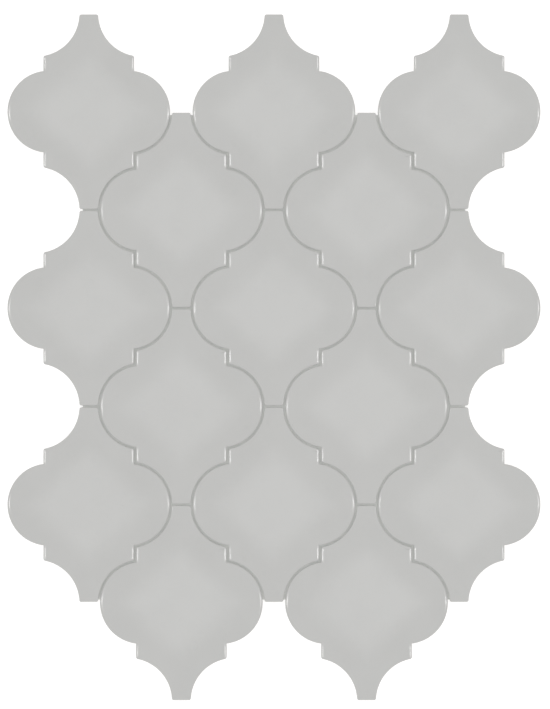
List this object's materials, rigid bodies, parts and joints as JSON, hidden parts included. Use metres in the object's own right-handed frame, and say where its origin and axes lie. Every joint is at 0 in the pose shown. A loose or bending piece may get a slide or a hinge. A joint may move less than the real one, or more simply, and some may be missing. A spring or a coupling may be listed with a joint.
{
  "type": "arabesque mosaic tile sheet",
  "caption": "Mesh-backed sheet of interlocking lantern-shaped glazed ceramic tiles for covering walls and splashbacks.",
  "frame": {"origin": "on the floor under the middle of the sheet's outer box, at the underside of the mesh", "axes": "+X across the sheet, +Y up it towards the edge where three tips stand out, +Z out of the glaze"},
  "size_m": [0.25, 0.3218, 0.0075],
  "materials": {
    "glazed_tile": "glossy light grey glaze over a pale fired body",
    "mesh": "white glass-fibre mesh with dried adhesive"
  },
  "bodies": {
    "root": {"tile_a1": "glazed_tile", "tile_a2": "glazed_tile", "tile_a3": "glazed_tile", "tile_b1": "glazed_tile", "tile_b2": "glazed_tile", "tile_b3": "glazed_tile", "tile_c1": "glazed_tile", "tile_c2": "glazed_tile", "tile_c3": "glazed_tile", "tile_d1": "glazed_tile", "tile_d2": "glazed_tile", "tile_d3": "glazed_tile", "tile_e1": "glazed_tile", "tile_e2": "glazed_tile", "tile_e3": "glazed_tile", "mesh_backing": "mesh"}
  },
  "joints": []
}
